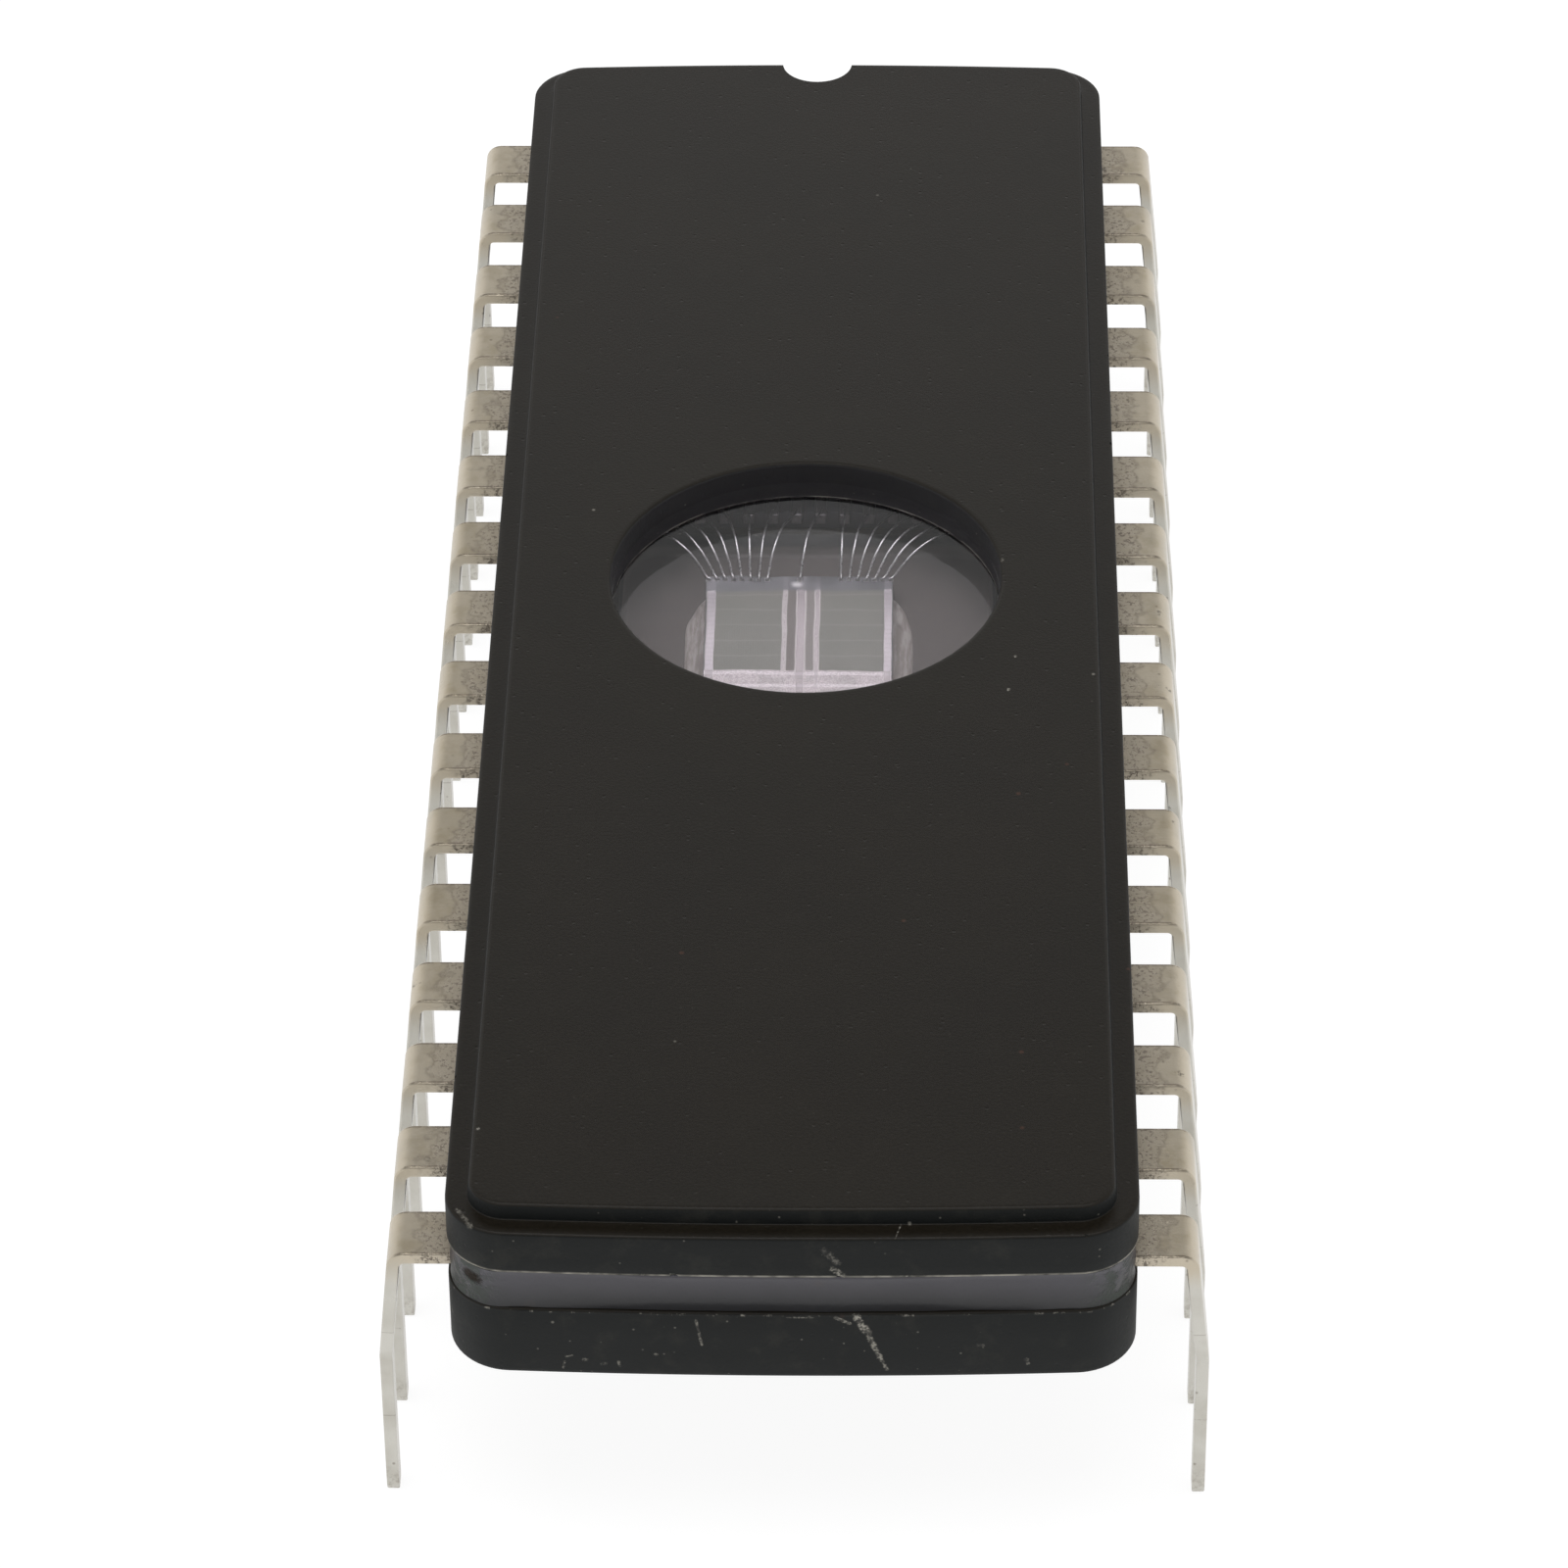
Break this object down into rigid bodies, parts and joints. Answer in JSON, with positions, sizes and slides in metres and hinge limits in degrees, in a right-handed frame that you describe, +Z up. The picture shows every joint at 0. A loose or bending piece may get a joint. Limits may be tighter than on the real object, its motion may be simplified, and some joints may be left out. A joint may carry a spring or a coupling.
{
  "type": "windowed eprom chip",
  "caption": "dual in-line ceramic memory chip with a round clear erase window over the die, an index notch and two rows of bent tinned leads for through-hole boards or sockets",
  "frame": {"origin": "middle of the footprint, on the plane of the lead tips", "axes": "+X from the left lead row to the right one, +Y along the body to the notched end, +Z up through the window"},
  "size_m": [0.016, 0.0418, 0.0083],
  "materials": {
    "dark_ceramic": "matt, pressed and fired",
    "sealing_glass": "glossy, reflowed",
    "clear_lens": "polished, clear",
    "silver_paste": "satin, cured",
    "silicon": "polished, patterned",
    "dull_tin": "dull tin dip with a little tarnish"
  },
  "bodies": {
    "root": {"ceramic_base": "dark_ceramic", "base_glass": "sealing_glass", "cap_glass": "sealing_glass", "ceramic_cap": "dark_ceramic", "window_lens": "clear_lens", "die_attach": "silver_paste", "silicon_die": "silicon", "lead_01": "dull_tin", "lead_02": "dull_tin", "lead_03": "dull_tin", "lead_04": "dull_tin", "lead_05": "dull_tin", "lead_06": "dull_tin", "lead_07": "dull_tin", "lead_08": "dull_tin", "lead_09": "dull_tin", "lead_10": "dull_tin", "lead_11": "dull_tin", "lead_12": "dull_tin", "lead_13": "dull_tin", "lead_14": "dull_tin", "lead_15": "dull_tin", "lead_16": "dull_tin", "lead_17": "dull_tin", "lead_18": "dull_tin", "lead_19": "dull_tin", "lead_20": "dull_tin", "lead_21": "dull_tin", "lead_22": "dull_tin", "lead_23": "dull_tin", "lead_24": "dull_tin", "lead_25": "dull_tin", "lead_26": "dull_tin", "lead_27": "dull_tin", "lead_28": "dull_tin", "lead_29": "dull_tin", "lead_30": "dull_tin", "lead_31": "dull_tin", "lead_32": "dull_tin"}
  },
  "joints": []
}
